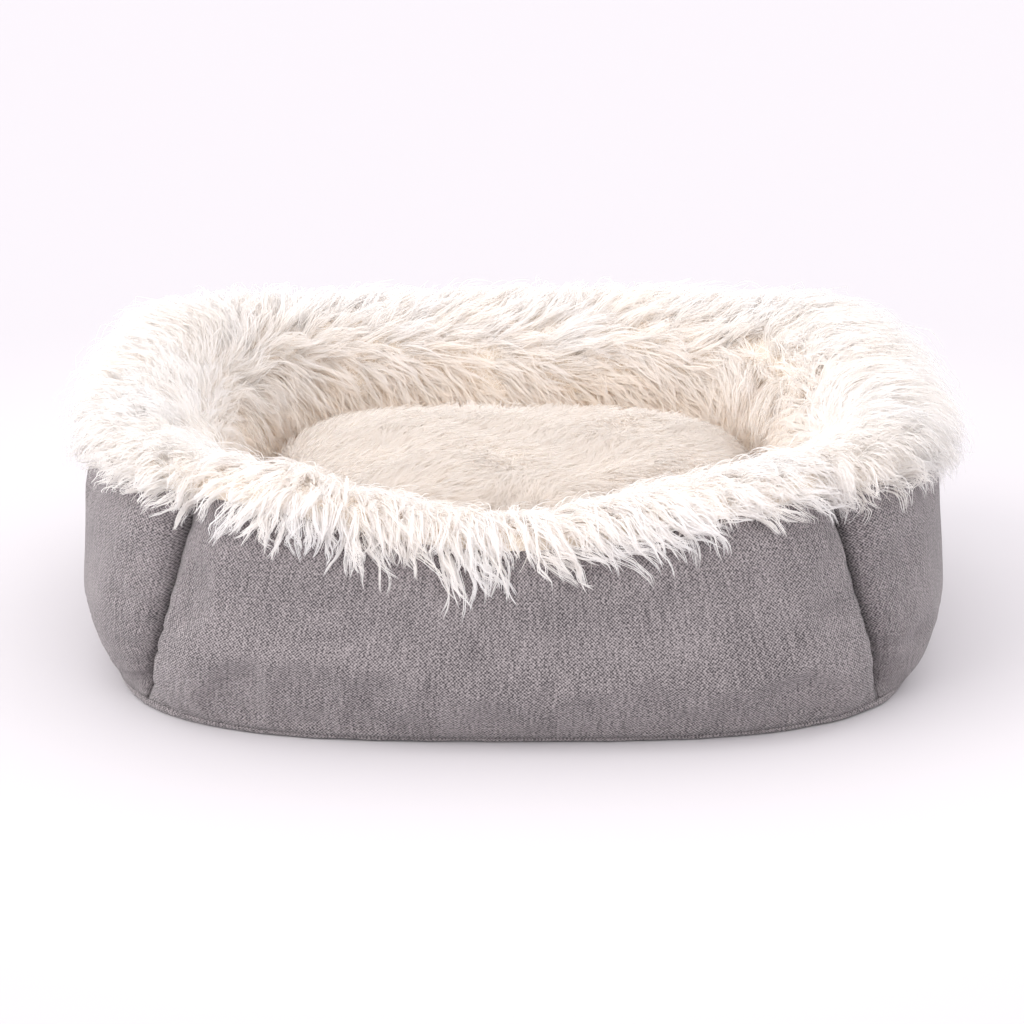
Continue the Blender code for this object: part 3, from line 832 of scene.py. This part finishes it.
outer_edge = np.exp(-((guide_row - OUTER_ROWS - 0.06 * FUR_ROWS) / (0.17 * FUR_ROWS)) ** 2)
lift += crest * (0.004 * on_ends + 0.008 * on_back) + outer_edge * 0.015 * on_ends
# How far a guide's root lies down in the well; it sets the painted shade there.
inside = np.clip((guide_row - PARTING + 2) / (0.35 * FUR_ROWS), 0.0, 1.0)
print(GUIDES, "guides")

# %% Hairs round each guide
# Each guide grows three wavy strands, and five hairs draw together into each strand.
strand = np.repeat(np.arange(GUIDES * STRANDS), HAIRS)
owner = strand // STRANDS
total = len(owner)
strand_spread = 0.0052 * np.sqrt(rng.uniform(0, 1, GUIDES * STRANDS))[strand]
strand_spin = rng.uniform(0, 2 * np.pi, GUIDES * STRANDS)[strand]
hair_spread = 0.0024 * np.sqrt(rng.uniform(0, 1, total))
hair_spin = rng.uniform(0, 2 * np.pi, total)
share = np.linspace(0.0, 1.0, POINTS)[None]
reach = rng.uniform(0.66, 1.0, GUIDES * STRANDS)[strand] * rng.uniform(0.90, 1.0, total)
t = share * reach[:, None]
hair_path = guide_path[:, :, owner]
col_at, row_at = between(hair_path, t)
_, _, around, across = read_wall(guide_col[owner], guide_row[owner])
strand_gather = 1.0 - rng.uniform(0.25, 0.85, GUIDES * STRANDS)[strand][:, None] * share ** 1.1
hair_gather = 1.0 - rng.uniform(0.72, 0.96, total)[:, None] * share ** 0.8
turns_of_wave = rng.uniform(0.6, 1.3, GUIDES)[owner][:, None] * share
start_of_wave = rng.uniform(0, 1, GUIDES)[owner] + rng.normal(0, 0.12, GUIDES * STRANDS)[strand]
wave = (rng.uniform(0.001, 0.0034, GUIDES)[owner][:, None] * share
        * np.sin(2 * np.pi * (turns_of_wave + start_of_wave[:, None])))
offset_col = ((strand_spread * np.cos(strand_spin))[:, None] * strand_gather
              + (hair_spread * np.cos(hair_spin))[:, None] * hair_gather)
offset_row = ((strand_spread * np.sin(strand_spin))[:, None] * strand_gather
              + (hair_spread * np.sin(hair_spin))[:, None] * hair_gather)
col_at += (offset_col + wave) / around[:, None]
row_at += (offset_row + 0.6 * wave) / across[:, None]
stray = rng.uniform(0, 1, total) < 0.08
top = lift[owner] * rng.uniform(0.45, 1.15, total) * np.where(stray, 1.4, 1.0)
arch = 1.0 - np.exp(-4.0 * share)
droop = rng.uniform(0.0, 0.55, total)[:, None] * (1.0 - 0.7 * on_ends[owner])[:, None]
height_at = 0.0006 + top[:, None] * arch * (1.0 - droop * share ** 2)
over_grey = np.clip((OUTER_ROWS - row_at) / 14.0, 0.0, 1.0)
lying = over_grey * (1.0 - 0.6 * on_ends[owner])[:, None]
height_at = height_at * (1 - 0.55 * lying) + 0.0015 * lying
points, normals, _, _ = read_wall(col_at, row_at)
room_out = (HAIR_LIMIT - np.abs(points)) / np.maximum(np.abs(normals), 0.2)
height_at = np.minimum(height_at, room_out.min(-1))
strands = points + height_at[..., None] * normals
tangent = unit(np.gradient(strands, axis=1))
flat_side = unit(np.cross(tangent, normals))
roll = rng.uniform(-0.9, 0.9, (total, 1, 1))
side_vectors = unit(flat_side * np.cos(roll) + np.cross(tangent, flat_side) * np.sin(roll))
width = rng.uniform(0.42, 0.76, total)[:, None] * 0.001 * (1.0 - 0.50 * share ** 1.8)
width[:, 0] *= 0.8
# Tone of each hair: creamier at random, plus painted shade that makes hairs rooted in the well creamier.
hair_tone_and_well_shade = 0.26 * rng.beta(1.5, 3.0, total) + 0.60 * inside[owner]
hair_tone_and_well_shade = np.clip(hair_tone_and_well_shade + 0.10 * ring_noise(40, 80, 16, guide_col, guide_row)[owner], 0, 1)
print(total, "hairs", total * (2 * POINTS - 3), "triangles")

# %% [markdown]
# ## Undercoat
#
# Faux fur has short crimped fibres between the long ones, which fill the parting and hide the knitted
# backing. They lie every way, so they are combed at random. A thicker backing would look like cloth.

# %% Short undercoat
DOWN = 20000
down_col, down_row = random_roots(rng, DOWN, OUTER_ROWS, ROWS - 12)
down_path = comb(down_col, down_row, rng.uniform(0.014, 0.024, DOWN), rng.uniform(-np.pi, np.pi, DOWN),
                 rng.normal(0, 0.9, DOWN), 4)
DOWN_POINTS = down_path.shape[0]
down_points, down_normals, _, _ = read_wall(down_path[:, 0].T, down_path[:, 1].T)
down_share = np.linspace(0, 1, DOWN_POINTS)[None]
down_height = 0.0006 + rng.uniform(0.004, 0.009, DOWN)[:, None] * np.sin(0.5 * np.pi * down_share) ** 0.8
down_strands = down_points + down_height[..., None] * down_normals
down_side = unit(np.cross(unit(np.gradient(down_strands, axis=1)), down_normals))
down_width = 0.0007 * (1.0 - 0.6 * down_share) * np.ones((DOWN, 1))
# Tone of each undercoat hair: creamier at random, plus painted shade that makes hairs in the well creamier.
down_tone_and_well_shade = (0.35 * rng.uniform(0, 1, DOWN)
             + 0.4 * np.clip((down_row - PARTING + 2) / (0.35 * FUR_ROWS), 0, 1))
down_along = np.broadcast_to(down_share, (DOWN, DOWN_POINTS)) * 1.0
print(DOWN, "undercoat hairs")

# %% Split the coat by side
root_col = np.mod(guide_col[owner], COLUMNS)
along_hair = np.broadcast_to(share, (total, POINTS)) * 1.0
for number, side in enumerate(SIDES):
    pick = side_columns(side)
    tuck = np.zeros((1, ROWS, 1))
    tuck[0, :OUTER_ROWS + 3, 0] = 0.0022
    backing_points = (wall + (0.0002 - tuck) * wall_normal)[pick][:, OUTER_ROWS - 1:]
    backing = grid_piece(side + "_fur_backing", backing_points, undercoat)
    thicken(backing, 0.0012)
    place(backing, "bed", "long_pile", side + "_fur_panel")
    stretched_sheet(backing, metres_map(backing_points).reshape(-1, 2).max(0))
    mine = (root_col >= seam_columns[number]) & (root_col < seam_columns[number + 1])
    chosen = np.nonzero(mine)[0]
    for part, some in enumerate(np.array_split(chosen, 3)):
        tuft = ribbons(f"{side}_long_pile_{part + 1}", strands[some], width[some], side_vectors[some],
                       normals[some], along_hair[some], hair_tone_and_well_shade[some], long_pile)
        place(tuft, "bed", "long_pile")
    some = np.nonzero((down_col >= seam_columns[number]) & (down_col < seam_columns[number + 1]))[0]
    fluff = ribbons(side + "_undercoat", down_strands[some], down_width[some], down_side[some],
                    down_normals[some], down_along[some], down_tone_and_well_shade[some], long_pile)
    place(fluff, "bed", "long_pile")
    print(side, "coat", len(chosen), "hairs")

# %% [markdown]
# ## The cushion
#
# The loose cushion is two covers sewn round their edge over a soft filling, so it is crowned, thin at
# its seam and drawn in a little between its corners. It starts as two domes on one outline, and a cloth
# simulation swells the top one against the seam.

# %% Cushion body
cushion_low, cushion_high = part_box("cushion_top_cover")
under_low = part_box("cushion_bottom_cover")[0]
CUSHION_HALF = (cushion_high.x, 0.5 * (cushion_high.y - cushion_low.y))
CUSHION_Y = 0.5 * (cushion_high.y + cushion_low.y)
SEAM_Z = cushion_low.z
CROWN = cushion_high.z - SEAM_Z
SOLE = SEAM_Z - under_low.z
CUSHION_SIDE = 40
RINGS = 26
along_side = np.linspace(-1, 1, CUSHION_SIDE + 1)[:-1]
loop = np.concatenate([outline(CUSHION_HALF, 5.0, 0.87, side, along_side) for side in SIDES])
loop_share = np.sin(np.linspace(0.004, 0.5 * np.pi, RINGS))


def dome(rise, fullness):
    """Rows from the seam to the middle of a crowned cover."""
    shape = np.zeros((len(loop), RINGS, 3))
    shape[..., :2] = loop[:, None] * loop_share[None, :, None]
    shape[..., 1] += CUSHION_Y
    shape[..., 2] = SEAM_Z + rise * np.sqrt(np.maximum(1.0 - loop_share ** fullness, 0.0))[None]
    return shape[:, ::-1]


cushion_top = dome(CROWN, 4.2)
cushion_under = dome(-SOLE, 8.0)[:, ::-1]
trial = plain_mesh("cushion_trial", cushion_top, ring_faces(len(loop), RINGS))
held = np.zeros((len(loop), RINGS))
held[:, 0] = 1.0
settled = settle(trial, held.ravel(), 0.8, 0.012, 0.8, 16).reshape(cushion_top.shape)
moved = np.linalg.norm(settled - cushion_top, axis=-1)
print("cushion cloth moved up to", round(float(moved.max()) * 1000, 1), "mm")
flat_top = cushion_top
cushion_top = capped(flat_top, settled, 0.004)
calm = np.clip(loop_share[::-1] / 0.3, 0.0, 1.0)[None, :, None] ** 2
lifted = cushion_top - flat_top
even = lifted[:, RINGS * 2 // 3].mean(0)
cushion_top = flat_top + calm * lifted + (1 - calm) * even
print("cushion", [round(2 * half, 3) for half in CUSHION_HALF], "m, seam at", round(SEAM_Z, 3))


# %% Covers of the cushion
def close_ring(grid):
    """Repeats a ring grid's first column at its end."""
    return np.concatenate([grid, grid[:1]])


for name, grid, node, material, slot in (
        ("cushion_top", cushion_top, "cushion_top_cover", plush_backing, "plush"),
        ("cushion_underside", cushion_under, "cushion_bottom_cover", lining_cloth, "lining")):
    shell = close_ring(grid)
    inner = -1 if name == "cushion_top" else 0
    middle = np.broadcast_to(shell[:-1, inner].mean(0), shell[:, :1].shape)
    parts = [shell, middle] if inner else [middle, shell]
    piece = grid_piece(name, np.concatenate(parts, 1), material)
    thicken(piece, 0.0015)
    place(piece, "cushion", slot, node)
    print(piece.name, "in place of", node)

# %% [markdown]
# ## Plush
#
# The cushion's cover is plush: a pile 11 to 19 mm long that stands half upright, in small tufts
# about 8 mm apart. It is drawn as ribbons like the long fur, with fewer points each, and it stops
# short of the zip, where the cover's turned edge is sewn flat.

# %% Plush over the cushion
plush_grid = close_ring(np.concatenate([cushion_top[:, ::-1], cushion_under[:, ::-1][:, 1:8]], 1))
p_up = np.cross(np.gradient(plush_grid, axis=1), np.gradient(plush_grid, axis=0))
p_size = np.linalg.norm(p_up, axis=-1)
rng = np.random.default_rng(77)
PLUSH = 70000
cells = p_size[:-1, :-1] + p_size[1:, :-1] + p_size[:-1, 1:] + p_size[1:, 1:]
chance = (cells / cells.sum()).ravel()
chosen = rng.choice(chance.size, PLUSH, p=chance)
pc, pr = np.divmod(chosen, cells.shape[1])
in_row = rng.uniform(0, 1, PLUSH)
in_row = np.where(pr == 0, np.sqrt(in_row), in_row)   # the first row's cells come to a point
at_col = pc + rng.uniform(0, 1, PLUSH)
root = read_grid(plush_grid, at_col, pr + in_row)
up = unit(read_grid(unit(p_up), at_col, pr + in_row))
# distance from the zip, which lies in the back of the seam
zip_gap = np.hypot(np.maximum(np.abs(root[:, 0]) - 0.086, 0.0), root[:, 2] - SEAM_Z) + (root[:, 1] < 0.1)
away = zip_gap > 0.013
root, up, zip_gap = root[away], up[away], zip_gap[away]
PLUSH = len(root)
TUFT = 0.0085
cell = np.floor(root[:, :2] / TUFT).astype(int)
shift_in_cell = rng.uniform(0.2, 0.8, (97, 2))[(31 * cell[:, 0] + 17 * cell[:, 1]) % 97]
tuft_at = (cell + shift_in_cell) * TUFT
patch = (np.sin(tuft_at[:, 0] * 46 + 1.3 * np.sin(tuft_at[:, 1] * 39))
         + np.cos(tuft_at[:, 1] * 52 + 1.7 * np.sin(tuft_at[:, 0] * 31)))
angle = 0.8 * patch + rng.normal(0, 0.4, PLUSH)
lie = np.stack([np.cos(angle), np.sin(angle), np.zeros(PLUSH)], -1)
lie = unit(lie - (lie * up).sum(-1, keepdims=True) * up)
to_tuft = np.concatenate([tuft_at - root[:, :2], np.zeros((PLUSH, 1))], -1)
to_tuft -= (to_tuft * up).sum(-1, keepdims=True) * up
PLUSH_POINTS = 5
share = np.linspace(0, 1, PLUSH_POINTS)[None, :, None]
plush_length = rng.uniform(0.011, 0.019, PLUSH) * np.clip((zip_gap - 0.008) / 0.020, 0.25, 1.0)
plush_length = plush_length[:, None, None]
upright = rng.uniform(0.35, 0.75, PLUSH)[:, None, None]
rising = upright * share * (1 - 0.35 * share) * up[:, None]
drawn_in = 0.7 * share ** 1.4 * np.clip((zip_gap - 0.016) / 0.01, 0, 1)[:, None, None]
plush = root[:, None] + plush_length * (share ** 1.2 * lie[:, None] + rising) + drawn_in * to_tuft[:, None]
tangent = unit(np.gradient(plush, axis=1))
side = unit(np.cross(tangent, up[:, None]))
roll = rng.uniform(-1.0, 1.0, (PLUSH, 1, 1))
side = unit(side * np.cos(roll) + np.cross(tangent, side) * np.sin(roll))
plush_width = 0.0008 * (1.0 - 0.7 * share[..., 0]) * np.ones((PLUSH, 1))
plush_tone = np.clip(rng.beta(1.5, 3.0, PLUSH) + 0.08 * patch, 0, 1)
plush_up = np.broadcast_to(up[:, None], plush.shape)
plush_along = np.broadcast_to(share[..., 0], (PLUSH, PLUSH_POINTS)) * 1.0
for part, some in enumerate(np.array_split(np.arange(PLUSH), 3)):
    nap = ribbons(f"cushion_plush_{part + 1}", plush[some], plush_width[some], side[some], plush_up[some],
                  plush_along[some], plush_tone[some], plush_pile)
    place(nap, "cushion", "plush")
print(PLUSH, "plush hairs")

# %% [markdown]
# ## The zip
#
# Nickel-plated brass is hard and bright, with fine rubbed marks. The slider and tab keep the frame's
# exact shape, and only their finish is added. The plain bar that stands for the tape becomes two
# woven tapes with a row of moulded teeth between them, which lock alternately from above and below.


# %% Nickel and inner parts
nickel, nickel_shader = start_material("nickel_plated_brass", 0.28, metallic=1.0)
rub = add(nickel, "ShaderNodeTexNoise", Vector=(add(nickel, "ShaderNodeTexCoord"), "Object"), Scale=2500.0,
          Detail=3.0)
wire(nickel, blend(nickel, (rub, "Fac"), "#a9a7a2", "#d6d4cf"), 2, nickel_shader, "Base Color")
for node in ("zip_slider", "zip_pull_tab", "zip_stop_left", "zip_stop_right"):
    dress(node, nickel)
dress("cushion_fill", fibre)

# %% Zip tapes and teeth
tape_low, tape_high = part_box("cushion_zip_tape")
tape_mid = 0.5 * (tape_low.z + tape_high.z)
lengthwise = np.linspace(tape_low.x, tape_high.x, 61)
upright_run = np.linspace(-1.0, 1.0, 15)
tape = np.zeros((len(lengthwise), len(upright_run), 3))
tape[..., 0] = lengthwise[:, None]
tape[..., 1] = tape_low.y + 0.0008 + 0.0002 * np.exp(-(upright_run / 0.2) ** 2)
tape[..., 2] = tape_mid + 0.5 * (tape_high.z - tape_low.z) * upright_run
tape_piece = grid_piece("zip_tapes", tape[::-1], tape_cloth, cloth_map=metres_map(tape))
thicken(tape_piece, 0.0006)
place(tape_piece, "cushion", "zip_tape", "cushion_zip_tape")
stretched_sheet(tape_piece, (tape_high.x - tape_low.x, tape_high.z - tape_low.z))

TOOTH_PITCH = 0.0020
tooth_box = np.array([(x, y, z) for x in (-0.0007, 0.0007) for y in (0.0009, 0.0026)
                      for z in (-0.0012, 0.0012)])
tooth_faces = np.array([(0, 1, 3, 2), (4, 6, 7, 5), (0, 4, 5, 1), (2, 3, 7, 6), (0, 2, 6, 4), (1, 5, 7, 3)])
tooth_x = np.arange(tape_low.x + 0.005, tape_high.x - 0.005, TOOTH_PITCH)
sway = np.where(np.arange(len(tooth_x)) % 2 == 0, 0.0006, -0.0006)
tooth_at = np.stack([tooth_x, np.full(len(tooth_x), tape_low.y), tape_mid + sway], -1)
first = 8 * np.arange(len(tooth_x))
teeth = plain_mesh("zip_teeth", tooth_at[:, None] + tooth_box[None],
                   (first[:, None, None] + tooth_faces[None]).reshape(-1, 4).tolist())
teeth.data.materials.append(nickel)
place(teeth, "cushion", "zip_metal")
print(len(tooth_x), "zip teeth")

# %% [markdown]
# ## Floor, light and camera
#
# A pale floor that runs on past the view, one large soft light from the upper left, a weak one from
# the front right and a bright sky all round, as in a product studio. White hair scatters light many
# times before it comes out, so the light is followed for more bounces than usual.

# %% Stage
scene = bpy.context.scene
bpy.ops.mesh.primitive_plane_add(size=14.0, location=(0, 0, -0.0004))
floor = bpy.context.object
floor.name = "studio_floor"
floor_paint, floor_shader = start_material("matt_white_floor", 0.9)
# Painted light: the floor is painted lighter near the bed and darker farther out, which cancels the shade that
# the bed casts on the floor round it.
floor_place = add(floor_paint, "ShaderNodeTexCoord")
away = add(floor_paint, "ShaderNodeVectorMath", {"operation": "LENGTH"}, in0=(floor_place, "Object"))
painted_light_falloff = add(floor_paint, "ShaderNodeMapRange", {"interpolation_type": "SMOOTHSTEP"}, Value=(away, "Value"),
               From_Min=0.30, From_Max=0.95)
floor_with_painted_light = blend(floor_paint, (painted_light_falloff, "Result"), "#cdcacd", "#bfbcc0")
wire(floor_paint, floor_with_painted_light, 2, floor_shader, "Base Color")
floor_shader.inputs["Specular IOR Level"].default_value = 0.1
floor.data.materials.append(floor_paint)

world = bpy.data.worlds.new("studio")
scene.world = world
world.use_nodes = True
backdrop = world.node_tree.nodes["Background"]
backdrop.inputs["Color"].default_value = linear("#fffdff")
upward = add(world, "ShaderNodeSeparateXYZ", Vector=(add(world, "ShaderNodeTexCoord"), "Generated"))
overhead = add(world, "ShaderNodeMapRange", Value=(upward, "Z"), From_Min=0.0, From_Max=1.0, To_Min=1.08,
               To_Max=1.84)
wire(world, overhead, "Result", backdrop, "Strength")


def sun(name, towards, spread, power, colour):
    """Soft sun: `towards` points from the bed to the light, spread is its width in degrees."""
    lamp = bpy.data.lights.new(name, "SUN")
    lamp.angle = math.radians(spread)
    lamp.energy = power
    lamp.color = linear(colour)[:3]
    in_scene(name, lamp).rotation_euler = Vector(towards).to_track_quat("Z", "Y").to_euler()


sun("key", (-0.84, -0.36, 0.46), 60.0, 1.66, "#fffcfa")
sun("fill", (0.58, -0.40, 0.71), 90.0, 0.27, "#fffcfa")

CAMERA_TARGET = Vector((-0.001, 0.0, 0.0810))
CAMERA_RISE = math.radians(19.5)
CAMERA_DISTANCE = 2.2
camera = bpy.data.cameras.new("camera")
camera.lens = 102.6
camera.sensor_width = 36.0
camera_item = in_scene("camera", camera)
offset = Vector((0.0, -math.cos(CAMERA_RISE), math.sin(CAMERA_RISE))) * CAMERA_DISTANCE
camera_item.location = CAMERA_TARGET + offset
camera_item.rotation_euler = (-offset).to_track_quat("-Z", "Y").to_euler()
scene.camera = camera_item
scene.view_settings.view_transform = "Standard"
scene.cycles.diffuse_bounces = 20
scene.cycles.max_bounces = 26
scene.cycles.transmission_bounces = 20
